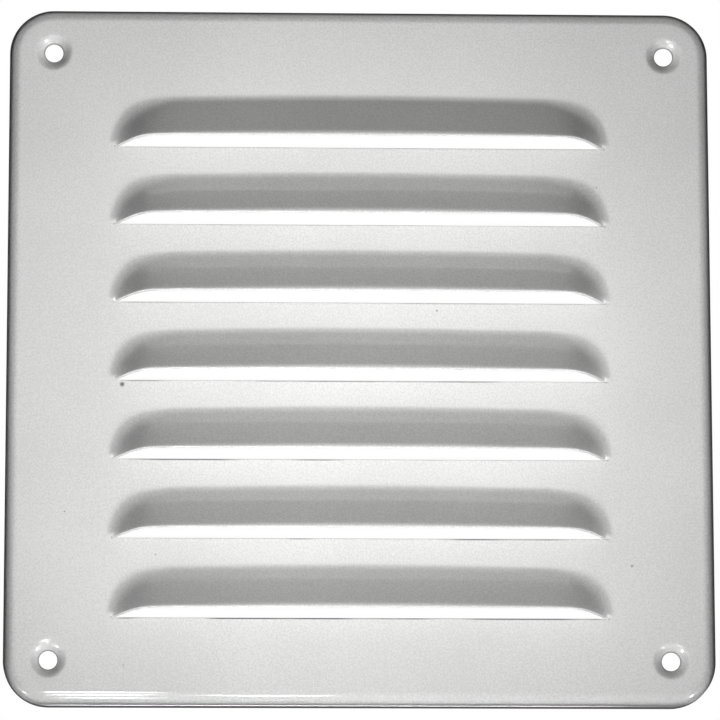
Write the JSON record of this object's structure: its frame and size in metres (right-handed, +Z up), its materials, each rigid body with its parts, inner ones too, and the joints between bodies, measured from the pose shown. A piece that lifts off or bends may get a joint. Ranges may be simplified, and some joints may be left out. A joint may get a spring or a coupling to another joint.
{
  "type": "louvre vent grille",
  "caption": "Square pressed-sheet vent cover with hooded louvres that open downward, edges turned back to the wall and a dished screw hole in each corner.",
  "frame": {"origin": "middle of the wall plane, where the turned-back edges end", "axes": "+X to the right seen from the front, +Z up, +Y into the wall; the louvres stand out towards -Y"},
  "size_m": [0.15, 0.0109, 0.15],
  "materials": {
    "white_enamel": "gloss enamel"
  },
  "bodies": {
    "root": {"louvre_plate": "white_enamel"}
  },
  "joints": []
}
